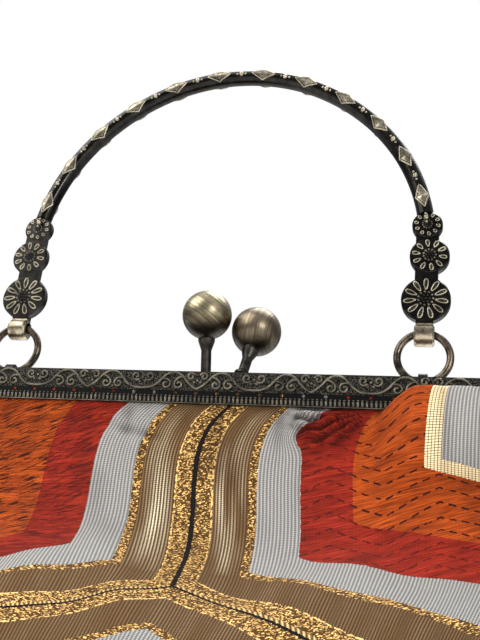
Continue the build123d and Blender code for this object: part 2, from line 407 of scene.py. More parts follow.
def hexagonDepth(g, across, up):  # depth in from the nearest side, and whether it slopes or is lower
    apothem, root3 = weave["apothem"], math.sqrt(3)
    level = up * (1 / root3 / weave["rise"])
    reaches, slopes, lowers = [], [], []
    for shiftX, shiftY in ((-apothem, -apothem / root3), (0.0, 2 * apothem / root3)):
        x = abs(g.math("WRAP", across + shiftX, apothem, -apothem))
        fromMiddle = g.math("WRAP", level + shiftY, root3 * apothem, -root3 * apothem)
        slant = x * 0.5 + abs(fromMiddle) * (root3 / 2)
        reaches.append(g.math("MAXIMUM", x, slant))
        slopes.append(slant > x)
        lowers.append(slopes[-1] * (fromMiddle < 0.0))
    first = reaches[0] < reaches[1]
    sloping, lower = (first * a + (1.0 - first) * b for a, b in (slopes, lowers))
    return apothem - g.math("MINIMUM", *reaches), sloping, lower


def slitRows(g, across, up):  # short dark slits between the weft floats, in rows like chevrons
    start, width, rise, fall = weave["chevron"]
    slope = g.math("PINGPONG", across + start, width) * rise - across * fall
    inRow = g.math("FRACT", (up - slope) / weave["slitRow"])
    return (g.math("FRACT", across / weave["slitPitch"]) < 0.6) * g.band(inRow, 0.43, 0.56)


def groundCloth(g, uv, across, up, stripe):  # pinstriped brown and gold, with painted highlights (glints of the foil) in long patches beside the middle
    patch = g.ramp(g.noise(g.stretch(uv, (1.0, 0.13, 1.0)), 0.17, 2.0), [(0.40, 0.0), (0.66, 1.0)])
    beside = g.near(abs(across), weave["glintMiddle"][0], weave["glintReach"][0])
    level = g.near(up, weave["glintMiddle"][1], weave["glintReach"][1])
    # painted highlight: the glint colour is strongest in two patches set beside the middle
    patch = patch * ((beside * level) ** 0.75 * 2.6 + 0.10)
    paintedGlint = g.math("MULTIPLY", patch, stripe ** 1.6, clamp=True)
    return g.mix(paintedGlint, g.mix(stripe, silk["brown"], silk["pinstripe"]), silk["paintedGlint"])


def floatCloths(g, uv, across, up):  # red and orange floats: slits on the right, torn threads on the left
    yarn, foldBumpAndShade = g.grain(uv, 0.16, 2.6, 4.0, 0.6), g.grain(uv, 0.06, 0.34, 3.0, 0.6)
    # painted shade: the fold noise darkens the floats' threads in the folds, and also raises them in the bump
    thread = g.ramp(yarn, [(0.28, 0.0), (0.60, 1.0)]) * g.ramp(foldBumpAndShade, [(0.28, 0.35), (0.6, 1.0)])
    thread = thread * g.ramp(g.grain(uv, 0.10, 4.6, 2.0, 0.6), [(0.32, 0.35), (0.58, 1.0)])
    skewed = up + g.grain(uv, 0.07, 0.10, 2.0) * 1.6
    slit = slitRows(g, across, skewed) * (g.noise(uv, 0.30, 1.0) > 0.38)
    leaning = g.make("ShaderNodeMapping", {"Vector": uv, "Rotation": (0.0, 0.0, -0.45)})
    torn = g.ramp(g.grain(leaning, 0.2, 1.8, 3.0, 0.62), [(0.41, 1.0), (0.45, 0.0)])
    leftSide = across < 0.0
    gaps = slit * (1.0 - leftSide) + torn * leftSide
    red = g.mix(gaps * 0.7, g.mix(thread, silk["redDark"], silk["red"]), silk["slit"])
    orange = g.mix(gaps, g.mix(thread, silk["orangeDark"], silk["orange"]), silk["slit"])
    return red, orange, yarn + foldBumpAndShade * 3.0, gaps


def brocadeMaterial():
    g = Graph("obiBrocade")
    w = weave
    uv = g.make("ShaderNodeUVMap", {}, uv_map="clothUv")
    across, up, _ = g.split(uv)
    depth, slopingSide, lowerSide = hexagonDepth(g, across, up)
    depth = depth + (g.noise(uv, 1.4, 2.0, 0.5) - 0.5) * w["ragged"]
    rib, pin, weft = g.wave(across, w["ribPitch"]), g.wave(across, w["pinPitch"]), g.wave(up, w["weftPitch"])
    stripe = pin * (weft * 0.55 + 0.45)

    edge = w["black"] - slopingSide * (w["black"] - w["blackSloping"])
    black = depth < edge
    cord = g.band(depth, w["blackSloping"], w["cord"]) * lowerSide
    sparkle = g.band(depth, edge, w["sparkleEdge"]) + g.band(depth, w["brown"], w["sparkleThin"])
    sparkle = sparkle + (depth > w["innerWhite"])
    bright = g.band(depth, w["sparkleEdge"], w["brightLine"]) * (g.noise(uv, 0.9, 2.0) > 0.47)
    brown = g.band(depth, w["sparkleEdge"], w["brown"]) - bright
    white = g.band(depth, w["sparkleThin"], w["white"]) + g.band(depth, w["foil"], w["innerWhite"])
    red, orange, foil = (g.band(depth, w[low], w[high])
                         for low, high in (("white", "red"), ("red", "orange"), ("orange", "foil")))

    flakes = g.split(g.cells(g.stretch(uv, (1.0, 1.7, 1.0)), 2.4, "Color"))[0]  # gold leaf, flake by flake
    gold = g.mix(g.ramp(flakes, [(0.62, 0.0), (0.97, 1.0)]), silk["goldDark"], silk["goldBright"])
    knots = g.wave(across + up * 0.4, w["cordPitch"]) ** 0.8
    silver = g.mix((rib ** 0.8 * 0.72 + 0.28) * (weft * 0.46 + 0.54), silk["whiteGap"], silk["white"])
    redCloth, orangeCloth, floatHeight, gaps = floatCloths(g, uv, across, up)
    gapAcross, gapUp = (g.math("FRACT", value / pitch) for value, pitch in zip((across, up), w["foilPitch"]))
    foilCloth = g.mix(g.math("MAXIMUM", gapAcross < 0.2, gapUp < 0.24), silk["foil"], silk["foilGap"])

    colour = g.mix(cord, gold, g.mix(knots, silk["cordDark"], silk["cord"]))
    # painted shade: the drape's creases and the pucker's valleys darken the cloth towards a deep red
    paintedCreaseShade = g.make("ShaderNodeAttribute", {}, "Fac", attribute_name="creaseShade")
    for mask, cloth in ((black, silk["black"]), (bright, silk["brightLine"]),
                        (brown, groundCloth(g, uv, across, up, stripe)), (white, silver), (red, redCloth),
                        (orange, orangeCloth), (foil, foilCloth), (paintedCreaseShade, silk["paintedCreaseShade"])):
        colour = g.mix(mask, colour, cloth)
    metallic = g.math("ADD", sparkle * 0.4 + foil * 0.5 + brown * (stripe * 0.5), bright * 0.6, clamp=True)
    floats = red + orange
    height = rib * (white + brown + 0.15) + sparkle * (flakes * 2.0) + floats * floatHeight
    height = height - gaps * floats * 0.9 - black * 1.4 + cord * (knots * 2.0)
    g.shader.inputs["Specular IOR Level"].default_value = 0.12
    return g.finish(Base_Color=colour, Metallic=metallic, Roughness=0.88 - metallic * 0.66,
                    Normal=g.bump(height, 0.00025, 0.9))


def plainClothMaterial(name, dark, light, pitch):
    g = Graph(name)
    place = g.objectPlace()
    scales = ((pitch, pitch, 80.0), (80.0, 80.0, pitch))
    along, upright = (g.noise(g.stretch(place, scale), 1.0, 2.0) for scale in scales)
    threads = along * upright
    colour = g.mix(g.ramp(threads, [(0.12, 0.0), (0.42, 1.0)]), dark, light)
    g.shader.inputs["Specular IOR Level"].default_value = 0.15
    return g.finish(Base_Color=colour, Roughness=0.85, Normal=g.bump(threads, 0.0003, 0.6))


antiqueLooks = {  # dark and light colour, roughness and metallic
    "antiqueBronze": (metalLook["recess"], metalLook["patina"], 0.36, 0.85),
    "ringBronze": ((0.02, 0.016, 0.011), (0.13, 0.102, 0.07), 0.28, 0.85),
    "rubbedBronze": ((0.06, 0.053, 0.039), (0.17, 0.15, 0.112), 0.4, 0.85),
    "plateBronze": ((0.10, 0.088, 0.065), (0.34, 0.30, 0.22), 0.3, 0.85),
    "paleBronze": ((0.20, 0.175, 0.125), (0.42, 0.37, 0.275), 0.36, 0.85),
    "petalBronze": ((0.007, 0.006, 0.005), (0.03, 0.027, 0.02), 0.34, 0.8),
}
brushedLooks = {  # direction across the scratches, dark and light colour, height of the stem's shade
    "leftBrushed": ((0.54, 0.0, 0.84), (0.16, 0.13, 0.08), (0.52, 0.445, 0.285), 0.2025),
    "rightBrushed": ((0.98, 0.0, -0.17), (0.13, 0.10, 0.066), (0.42, 0.34, 0.235), 0.1995),
}
clothLooks = {  # dark and light colour, threads per metre
    "liningCloth": ((0.16, 0.012, 0.010), (0.36, 0.030, 0.022), 2600.0),
    "feltCloth": ((0.55, 0.53, 0.48), (0.80, 0.78, 0.72), 900.0),
    "boardFibre": ((0.28, 0.21, 0.13), (0.46, 0.37, 0.25), 500.0),
}
bronze, ringBronze, rubbedBronze, plateBronze, paleBronze, petalBronze = (
    antiqueMaterial(name, *values) for name, values in antiqueLooks.items())
frameBronze, handleBronze, brocade = frameMaterial(), handleMaterial(), brocadeMaterial()
leftBrushed, rightBrushed = (brushedMaterial(name, *values) for name, values in brushedLooks.items())
liningCloth, feltCloth, boardFibre = (
    plainClothMaterial(name, *values) for name, values in clothLooks.items())
print("stage: materials")

nodeLooks = {
    "rear_frame": frameBronze, "front_frame": frameBronze, "handle": handleBronze,
    "ring_left": ringBronze, "ring_right": ringBronze, "ring_eye_left": bronze, "ring_eye_right": bronze,
    "clasp_stem_rear": bronze, "clasp_stem_front": bronze,
    "clasp_ball_rear": leftBrushed, "clasp_ball_front": rightBrushed,
    "hinge_rivet_left": paleBronze, "hinge_rivet_right": paleBronze,
    "wadding": feltCloth, "base_board": boardFibre,
}
for nodeName, look in nodeLooks.items():
    cadNodes[nodeName].data.materials.clear()
    cadNodes[nodeName].data.materials.append(look)


# Soft body: levels of the outline in mm, as height, half width and half depth
bodyForm = {
    "levels": ((0, 100, 50), (9, 109, 54), (34, 121, 58), (66, 124, 60), (92, 114, 59), (109, 93, 56),
               (119, 92.3, 51), (127, 92.3, 44), (133, 92.3, 35), (139, 92.3, 25), (145, 92.3, 16),
               (152, 92.3, 10), (161, 92.3, 6.5), (172.5, 92.3, 4.6), (190, 92.3, 4.5)),
    "roundness": (3.2, 4.6),  # how square the body is in plan, near the frame and in the belly
    "seamX": 86.0,
    "seamWidth": 1.6,
    "seamDepth": 0.9,
    "gussetTop": 109.2,
    "hingeRoom": 1.2,
    "lipZ": 181.0,
    "clothTop": 187.0,
    "clothBottom": 1.0,
}
# Inner layers: inset is in the belly and at the frame, and floor is from, to and inset
layers = {
    "Lining": {"inset": (4.4, 1.5), "top": 184, "thickness": 0.9, "floor": (5.8, 6.8, 8.0)},
    "Pad": {"inset": (2.6, 2.6), "top": 97, "thickness": 1.2, "floor": (1.5, 2.9, 4.0)},
}
formZ = np.arange(-10, 191, 0.5)
levelZ, levelX, levelY = (np.array(column, float) for column in zip(*bodyForm["levels"]))


def softened(values, reach):  # interpolates the levels and rounds their corners off
    raw = np.interp(formZ, levelZ, values)
    kernel = np.hanning(2 * int(reach / 0.5) + 3)[1:-1]
    padded = np.pad(raw, len(kernel) // 2, mode="edge")
    return np.convolve(padded, kernel / kernel.sum(), mode="valid")


halfWidthAt = softened(levelX, 7.0)
halfDepthAt = softened(levelY, 6.0)


# Right end to left end of the front half at height z, as dense points x, y in mm, y positive
def sectionLine(z):
    width = np.interp(z, formZ, halfWidthAt)
    depth = np.interp(z, formZ, halfDepthAt)
    inFrame = float(smoothStep(108, 119, z))
    tab = min(3.0 * inFrame, depth - 0.2)
    high, low = bodyForm["roundness"]
    power = 2 / (low + (high - low) * float(smoothStep(86, 114, z)))
    angle = np.linspace(0, math.pi / 2, 160)
    x = width * np.cos(angle) ** power
    y = tab + (depth - tab) * np.sin(angle) ** power
    if inFrame > 0:
        x = np.r_[width + 3.0 * inFrame, x]
        y = np.r_[tab, y]
    return np.r_[x, -x[-2::-1]], np.r_[y, y[-2::-1]]


# Evenly set places from low to high, set closer in the stretch fine when there is one
def spaced(low, high, count, fine):
    if not fine:
        return np.linspace(low, high, count + 1)
    place = np.linspace(low, high, 800)
    start, end = fine
    density = 1 + 1.2 * smoothStep(start - 4, start, place) * (1 - smoothStep(end, end + 4, place))
    total = np.r_[0, np.cumsum((density[1:] + density[:-1]) / 2)]
    return np.interp(np.linspace(0, total[-1], count + 1), total, place)


# Points of the front half of the body, rows upwards and columns from right to left, with lengths along both
def bodyGrid(columnStep, rowStep, inset=None, fine=None):
    form = bodyForm
    z = np.arange(form["clothBottom"], form["clothTop"], 0.25)
    run = np.r_[0, np.cumsum(np.hypot(np.diff(z), np.diff(np.interp(z, formZ, halfDepthAt))))]
    lipRun = np.interp(form["lipZ"], z, run)
    rows = int(run[-1] / rowStep) + (12 if fine else 0)
    rowZ = np.interp(spaced(0, run[-1], rows, fine and (lipRun - fine[3], lipRun - fine[2])), run, z)
    down = lipRun - np.interp(rowZ, z, run)
    sideCount = int(70 / columnStep)
    frontCount = int(180 / columnStep) + (16 if fine else 0)
    points = np.zeros((rows + 1, 2 * sideCount + frontCount + 1, 3))
    across = np.zeros(points.shape[:2])
    for index, height in enumerate(rowZ):
        x, y = sectionLine(height)
        length = np.r_[0, np.cumsum(np.hypot(np.diff(x), np.diff(y)))]
        total = length[-1]
        seam = np.interp(-form["seamX"], -x, length)
        closer = fine and (total / 2 - fine[1], total / 2 - fine[0])
        at = np.r_[np.linspace(0, seam, sideCount + 1)[:-1],
                   spaced(seam, total - seam, frontCount, closer)[:-1],
                   np.linspace(total - seam, total, sideCount + 1)]
        points[index, :, 0] = np.interp(at, length, x)
        points[index, :, 1] = -np.interp(at, length, y)
        points[index, :, 2] = height
        across[index] = total / 2 - at
    if inset:
        low, high = inset
        depth = low + (high - low) * smoothStep(112, 150, rowZ)
        points = points - gridNormals(points) * depth[:, None, None]
        points[:, :, 1] = np.minimum(points[:, :, 1], -0.3)
    return points, across, np.repeat(down[:, None], points.shape[1], axis=1), sideCount, frontCount


def gridNormals(points):
    alongRow = np.gradient(points, axis=1)
    alongColumn = np.gradient(points, axis=0)
    normal = np.cross(alongColumn, alongRow)
    normal /= np.maximum(np.linalg.norm(normal, axis=2, keepdims=True), 1e-9)
    return normal


def creaseShade(height, reach=4):  # painted shade of the small valleys, from 0 to 1
    around = np.zeros_like(height)
    for shift in range(-reach, reach + 1):
        around += np.roll(height, shift, axis=0) + np.roll(height, shift, axis=1)
    around /= 2 * (2 * reach + 1)
    return np.clip((around - height) / 0.7, 0, 0.6)


def waves(u, v, parts, turn=(0, 0, 0, 0)):  # sum of the waves, each with its own turn of phase
    return sum(a * np.sin(2 * math.pi * (u / lu + v / lv) + phase + more)
               for (a, lu, lv, phase), more in zip(parts, turn))


frontDrape = {
    "gather": 0.45,             # small ripples under the lip
    "gatherReach": 11.0,
    "billow": 0.9,              # slow waves over the belly
    "fine": (26.0, 50.0, -1.0, 14.0),  # stretch across and down where the mesh is finer
    "pucker": 4.4,              # bunched floats right of the middle
    "puckerRoot": (46.5, -1.5),  # where the pucker's creases meet
    "tuck": 1.1,                # depth of the crease left of the middle
    "overhang": (9.5, 8.1),     # forward and upward reach of the fold that hangs over the frame
    "overhangFrom": (43.0, 58.0),
}
rearDrape = {
    "gather": 0.4,
    "gatherReach": 12.0,
    "billow": 1.0,
    "pucker": 0.0,
    "puckerRoot": (39.0, -1.0),
    "tuck": 0.0,
    "overhang": (0.0, 0.0),
    "overhangFrom": (30.0, 50.0),
}
# Slow waves as height, length across, length down and phase
rippleWaves = ((1.0, 8.3, 60, 0.0), (0.7, 5.1, -40, 2.1), (0.6, 13.0, 90, 0.6))
billowWaves = ((1.0, 74, 110, 0.4), (0.8, -52, 83, 2.2), (0.5, 31, 47, 4.0), (0.35, 19, -38, 1.0))


# Adds gathers, billows, puckers and the seam grooves to a smooth grid, and gives the painted shade of its small
# valleys and of the pucker's ridges
def drape(points, across, down, look, phase):
    normal = gridNormals(points)
    below = np.maximum(down, 0)
    calm = smoothStep(-1, 4, down)
    fromMiddle = np.abs(across)
    ripple = waves(across, 0.35 * below, rippleWaves, (phase, phase, 0))
    height = look["gather"] * ripple * np.exp(-below / look["gatherReach"]) * calm
    slow = waves(across, below, billowWaves, (phase, 0, phase, 0))
    height += look["billow"] * slow * smoothStep(8, 60, down)
    rootAcross, rootDown = look["puckerRoot"]
    reach = np.hypot(across - rootAcross, 1.1 * (down - rootDown))
    bearing = np.arctan2(down - rootDown, rootAcross - across)
    window = smoothStep(3, 8, reach) * (1 - smoothStep(18.5, 22, reach)) * smoothStep(0.3, 2, down)
    window = window * (1 - smoothStep(0.85, 1.2, bearing + 0.02 * reach))
    ridges = np.sin(36 * bearing + 0.4 * reach + 0.8 * np.sin(0.7 * reach))
    height += look["pucker"] * window * (0.55 * ridges + 0.25 * np.sin(23 * bearing - 0.6 * reach) + 0.8)
    tuckLine = (down - 10 - 0.16 * across) / 1.7
    tuckReach = smoothStep(-46, -30, across) * (1 - smoothStep(-14, -2, across))
    height -= look["tuck"] * np.exp(-tuckLine ** 2) * tuckReach
    fromSeam = (np.abs(points[:, :, 0]) - bodyForm["seamX"]) / bodyForm["seamWidth"]
    height -= bodyForm["seamDepth"] * np.exp(-fromSeam ** 2) * (points[:, :, 2] < bodyForm["gussetTop"])
    height *= smoothStep(-0.5, 8, -points[:, :, 1])
    moved = points + normal * height[:, :, None]
    forward, upward = look["overhang"]
    puff = smoothStep(*look["overhangFrom"], across) * (1 - smoothStep(86, 92, fromMiddle))
    swell = smoothStep(0.3, 5.0, down) * (1 - smoothStep(9, 30, down))
    lift = smoothStep(0.2, 3.6, down) * (1 - smoothStep(5, 15, down))
    moved[:, :, 1] -= forward * puff * swell
    moved[:, :, 2] += upward * puff * lift
    # painted shade in the valleys between the pucker's ridges
    ridgeValleyShade = look["pucker"] / 14 * window * (1 - ridges)
    return moved, np.clip(creaseShade(height - look["billow"] * slow) + ridgeValleyShade, 0, 0.8)


# Where the front's cloth lies in the weave: the sewing at the frame and a soft fold drag the pattern along
def drapedPattern(across, down):
    u, v = across / 50, down / 50
    below = np.maximum(down, 0)
    drag = np.exp(-below / 9)
    near = 1 / (1 + (below / 108) ** 8)
    fold = np.exp(-((across - 42) ** 2 + (down - 54) ** 2) / 250)
    bulge = 3.4 * np.exp(-((across - 27) ** 2 + (down - 7) ** 2) / 16)
    sideways = -0.3 * u - 13.5 * v - 1.6 * u ** 2 - 5.7 * u * v + 1.6 * v ** 3 + 4.8 * u * v * (u + v)
    upward = 3.5 * v - 8.3 * u - 1.3 * u ** 2 - 7.0 * u * v + 6.8 * v ** 2
    upward += -6.9 * v ** 3 + 10.0 * u * v ** 2 - 7.5 * u ** 2 * v
    gatheredAcross = (-12.9 - 2.7 * u + 4.6 * u ** 2) * drag
    gatheredUp = (4.6 + 7.5 * u + 11.8 * u ** 2) * drag
    return (across + 4.0 + near * sideways + gatheredAcross + bulge,
            59.4 - 0.92 * down + near * upward + gatheredUp + 6.0 * fold)


def plainPattern(across, down):
    return across, 63.3 - 0.92 * down


# A cloth piece from the kept faces of a grid, thickened inwards
def patchOf(name, points, pattern, keep, material, flip=False, paintedCreaseShade=None, thickness=0.9):
    rows, columns = points.shape[:2]
    number = -np.ones((rows, columns), int)
    faces, order = [], []
    for r in range(rows - 1):
        for c in range(columns - 1):
            if keep[r, c]:
                corners = [(r, c), (r + 1, c), (r + 1, c + 1), (r, c + 1)]
                face = []
                for corner in corners:
                    if number[corner] < 0:
                        number[corner] = len(order)
                        order.append(corner)
                    face.append(number[corner])
                faces.append(face[::-1] if flip else face)
    picked = np.array([points[corner] for corner in order]) * mm
    piece = meshPiece(name, picked, faces, material)
    layer = piece.data.uv_layers.new(name="clothUv")
    uv = np.array([[pattern[0][corner], pattern[1][corner]] for corner in order])
    loops = np.zeros(len(piece.data.loops), int)
    piece.data.loops.foreach_get("vertex_index", loops)
    layer.data.foreach_set("uv", uv[loops].astype(np.float32).ravel())
    # the painted crease shade goes onto the points, for the brocade to darken by
    if paintedCreaseShade is not None:
        dark = piece.data.attributes.new("creaseShade", "FLOAT", "POINT")
        dark.data.foreach_set("value", [float(paintedCreaseShade[corner]) for corner in order])
    selectOnly(piece)
    solid = piece.modifiers.new("thickness", "SOLIDIFY")
    solid.thickness = thickness * mm
    solid.offset = -1.0
    bpy.ops.object.modifier_apply(modifier="thickness")
    return piece


def frontKeep(points, sideCount, frontCount):
    z = points[:-1, :-1, 2]
    column = np.arange(points.shape[1] - 1)[None, :]
    middle = (column >= sideCount) & (column < sideCount + frontCount)
    return middle | (z > bodyForm["gussetTop"])


def makeHalf(name, look, phase, pattern, step, behind, material):
    points, across, down, sideCount, frontCount = bodyGrid(step, step, fine=look.get("fine"))
    moved, paintedCreaseShade = drape(points, across, down, look, phase)
    keep = frontKeep(points, sideCount, frontCount)
    if behind:
        moved[:, :, 1] *= -1
    return patchOf(name, moved, pattern(across, down), keep, material, behind, paintedCreaseShade)


frontCloth = makeHalf("frontBrocade", frontDrape, 0.0, drapedPattern, 1.3, False, brocade)
rearCloth = makeHalf("rearBrocade", rearDrape, 1.7, plainPattern, 1.9, True, brocade)
print("stage: front and rear cloth")


def makeGusset(name, side):  # side cloth: the side columns of both halves, joined round the end of the bag
    points, across, down, sideCount, frontCount = bodyGrid(1.9, 1.9)
    moved, paintedCreaseShade = drape(points, across, down, rearDrape, 0.8)
    if side > 0:
        half, reach = moved[:, :sideCount + 1], across[:, :sideCount + 1]
    else:
        half, reach = moved[:, -sideCount - 1:][:, ::-1], -across[:, -sideCount - 1:][:, ::-1]
    behind = half.copy()
    behind[:, :, 1] *= -1
    around = np.concatenate([half[:, ::-1], behind[:, 1:]], axis=1)
    underHinge = smoothStep(98, 109, around[:, :, 2]) * (1 - smoothStep(8, 15, np.abs(around[:, :, 1])))
    around[:, :, 2] -= bodyForm["hingeRoom"] * underHinge  # the frame's foot turns in here
    fromEnd = reach[:, :1] - reach
    upPattern = 63.3 - 0.92 * down[:, :around.shape[1]]
    sideways = np.concatenate([-fromEnd[:, ::-1], fromEnd[:, 1:]], axis=1) + 22.0
    keep = np.repeat((around[:-1, :1, 2] < bodyForm["gussetTop"]), around.shape[1] - 1, axis=1)
    upAll = np.repeat(upPattern[:, :1], around.shape[1], axis=1)
    return patchOf(name, around, (sideways, upAll), keep, brocade, flip=side > 0)


def slab(name, low, high, inset, material):  # flat layer of the floor, closed all round
    x, y = sectionLine(max(low, 0.4))
    ring = np.r_[np.c_[x, -y], np.c_[x[::-1][1:-1], y[::-1][1:-1]]][::4]
    ring = ring * (1 - inset / np.linalg.norm(ring, axis=1))[:, None]
    n = len(ring)
    points = [(px, py, z) for z in (low, high) for px, py in ring]
    faces = [[i, (i + 1) % n, n + (i + 1) % n, n + i] for i in range(n)]
    faces += [list(range(n))[::-1], list(range(n, 2 * n))]
    piece = meshPiece(name, np.array(points) * mm, faces, material, smooth=False)
    selectOnly(piece)
    bpy.ops.object.mode_set(mode="EDIT")
    bpy.ops.mesh.select_all(action="SELECT")
    bpy.ops.mesh.normals_make_consistent(inside=False)
    bpy.ops.object.mode_set(mode="OBJECT")
    layer = piece.data.uv_layers.new(name="clothUv")
    for loop in piece.data.loops:
        place = piece.data.vertices[loop.vertex_index].co / mm
        layer.data[loop.index].uv = (place.x, place.y + 40)
    return piece


def joined(first, second):
    bpy.ops.object.select_all(action="DESELECT")
    second.select_set(True)
    first.select_set(True)
    bpy.context.view_layer.objects.active = first
    bpy.ops.object.join()
    return first


def innerLayer(name, material):  # front and rear halves of a layer inside the cloth, and its floor
    layer = layers[name]
    points, across, down, sideCount, frontCount = bodyGrid(3.0, 3.0, inset=layer["inset"])
    keep = points[:-1, :-1, 2] < layer["top"]
    behind = points.copy()
    behind[:, :, 1] *= -1
    sides = (across, down)
    front = patchOf(f"front{name}", points, sides, keep, material, thickness=layer["thickness"])
    rear = patchOf(f"rear{name}", behind, sides, keep, material, True, thickness=layer["thickness"])
    return front, rear, slab(f"{name.lower()}Floor", *layer["floor"], material)


gussetRight = makeGusset("rightGusset", 1)
gussetLeft = makeGusset("leftGusset", -1)
baseCloth = slab("baseBrocade", 0.0, 1.15, 0.0, brocade)
frontPad, rearPad, floorPad = innerLayer("Pad", feltCloth)
wadding = joined(joined(rearPad, frontPad), floorPad)
frontLining, rearLining, floorLining = innerLayer("Lining", liningCloth)
rearLining = joined(rearLining, floorLining)
for piece, node, slot in ((frontCloth, "outer_front_panel", "brocade"),
                          (frontLining, "lining_front", "lining_cloth")):
    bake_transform(piece)
    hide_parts(node)
for piece, node, slot in ((rearCloth, "outer_rear_panel", "brocade"), (gussetLeft, "outer_side_left", "brocade"),
                          (gussetRight, "outer_side_right", "brocade"), (baseCloth, "outer_base", "brocade"),
                          (rearLining, "lining_rear", "lining_cloth"), (wadding, "wadding", "wadding_felt")):
    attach(piece, "bag")
    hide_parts(node)
print("stage: soft body")


# Frame relief. A place on the frame's face is s along its outer edge from the top middle, and h in from that
def facePoint(s, h, out, behind):
    radius = bag["cornerRadius"]
    straight = bag["halfWidth"] - radius
    arc = radius * math.pi / 2
    reach = abs(s)
    sign = 1 if s >= 0 else -1
    if reach <= straight:
        x, z = reach, bag["topZ"] - h
    elif reach <= straight + arc:
        angle = (reach - straight) / radius
        x = straight + (radius - h) * math.sin(angle)
        z = bag["topZ"] - radius + (radius - h) * math.cos(angle)
    else:
        x, z = bag["halfWidth"] - h, bag["topZ"] - radius - (reach - straight - arc)
    y = (bag["faceY"] + out) * (1 if behind else -1)
    return Vector((sign * x, y, z)) * mm


# Matrix that sets a small form, modelled flat with +Z outwards, on the frame's face
def facePlace(s, h, out, behind, stretchAlong=1.0, stretchIn=1.0):
    along = (facePoint(s + 0.2, h, out, behind) - facePoint(s - 0.2, h, out, behind)).normalized()
    outward = Vector((0, 1 if behind else -1, 0))
    inward = outward.cross(along)
    matrix = Matrix.Identity(4)
    for row in range(3):
        matrix[row][0] = along[row] * stretchAlong
        matrix[row][1] = inward[row] * stretchIn
        matrix[row][2] = outward[row]
        matrix[row][3] = facePoint(s, h, out, behind)[row]
    return matrix


def lowDome(radius, height, sides=6):  # flattened dome with its rim at z=0
    bpy.ops.mesh.primitive_uv_sphere_add(segments=sides, ring_count=4, radius=radius)
    dome = bpy.context.view_layer.objects.active
    dome.scale = (1, 1, height / radius)
    settle(dome)
    bpy.ops.object.mode_set(mode="EDIT")
    bpy.ops.mesh.select_all(action="SELECT")
    bpy.ops.mesh.bisect(plane_co=(0, 0, -0.05 * height), plane_no=(0, 0, 1), clear_inner=True, use_fill=True)
    bpy.ops.object.mode_set(mode="OBJECT")
    return dome


def ribForm():  # short upright rib with a rounded back
    bpy.ops.mesh.primitive_cube_add(size=1)
    rib = bpy.context.view_layer.objects.active
    rib.scale = (0.62 * mm, (relief["ribFoot"] - relief["ribTop"]) * mm, 0.5 * mm)
    settle(rib)
    bevel = rib.modifiers.new("round", "BEVEL")
    bevel.width = 0.2 * mm
    bevel.segments = 2
    bpy.ops.object.modifier_apply(modifier="round")
    return rib


def smoothLine(points, steps=5):  # rounds a line of places off, through every one of them
    places = [np.array(p, float) for p in points]
    places = [2 * places[0] - places[1]] + places + [2 * places[-1] - places[-2]]
    line = []
    for a, b, c, d in zip(places, places[1:], places[2:], places[3:]):
        for t in np.linspace(0, 1, steps + 1)[:-1]:
            curve = (2 * a - 5 * b + 4 * c - d) * t ** 2 + (3 * b - a - 3 * c + d) * t ** 3
            line.append(0.5 * (2 * b + (c - a) * t + curve))
    return [tuple(p) for p in line] + [tuple(places[-2])]


def curl(centreS, centreH, radius, start, turns, steps=18):
    points = []
    for step in range(steps + 1):
        t = step / steps
        angle = 2 * math.pi * (start + turns * t)
        reach = radius * (1 - 0.75 * t)
        points.append((centreS + reach * math.cos(angle), centreH + reach * math.sin(angle)))
    return points


def motifLines():  # right half of one repeat, from the heart to the middle of the swag, as lines of s and h
    half = relief["motifPitch"] / 2
    wave = [(0.0, 5.1), (1.3, 4.3), (2.7, 3.0), (4.1, 1.4), (5.9, 0.5), (7.9, 0.75), (9.4, 2.0), (10.8, 3.6),
            (12.7, 4.7), (half, 5.0)]
    return [
        smoothLine(wave),
        curl(1.75, 1.55, 1.15, 0.55, 1.15),
        smoothLine([(3.9, 1.6), (5.0, 1.9), (6.1, 2.9)]) + curl(5.0, 3.75, 1.3, -0.1, 1.1),
        smoothLine([(10.3, 3.0), (9.6, 2.3), (8.6, 2.35)]) + curl(8.5, 3.75, 1.4, -0.27, -1.1),
        curl(13.3, 1.7, 1.3, 0.1, 1.15),
    ]


def makeRelief(behind):
    tag = "rear" if behind else "front"
    body = "bag" if behind else "front_half"
    end = relief["armEnd"]
    count = int(end / relief["motifPitch"])
    lines, dots = [], []
    for repeat in range(-count, count + 1):
        centre = repeat * relief["motifPitch"]
        for sign in (-1, 1):
            for line in motifLines():
                places = [(centre + sign * s, h) for s, h in line]
                if max(abs(s) for s, h in places) < end:
                    lines.append([facePoint(s, h, 0.1, behind) for s, h in places])
        for s, h in relief["dotSpots"]:
            dots.append(facePlace(min(max(centre + s, -end), end), h, 0.0, behind, 1.5, 1.5))
    depth, radius = relief["lip"]
    edge = [facePoint(s, depth, 0.03, behind) for s in np.arange(-end, end + 1, 2.0)]
    finishMetal(tubes(f"{tag}Lip", [edge], radius * mm, rubbedBronze), body)
    finishMetal(tubes(f"{tag}Scrollwork", lines, relief["lineRadius"] * mm, rubbedBronze), body)

    steps = np.arange(-end, end, relief["ribPitch"])
    dots += [facePlace(s, relief["dotRow"], 0.0, behind, 1.3, 0.75) for s in steps]
    dome = lowDome(*(size * mm for size in relief["dot"]))
    finishMetal(stampCopies(f"{tag}Dots", dome, dots, rubbedBronze), body)
    middle = (relief["ribTop"] + relief["ribFoot"]) / 2
    ribs = [facePlace(s, middle, 0.0, behind) for s in steps]
    finishMetal(stampCopies(f"{tag}Ribs", ribForm(), ribs, rubbedBronze), body)


stitchForm = {"radius": 0.49, "sink": 0.25, "downArm": 9, "shade": 0.6}


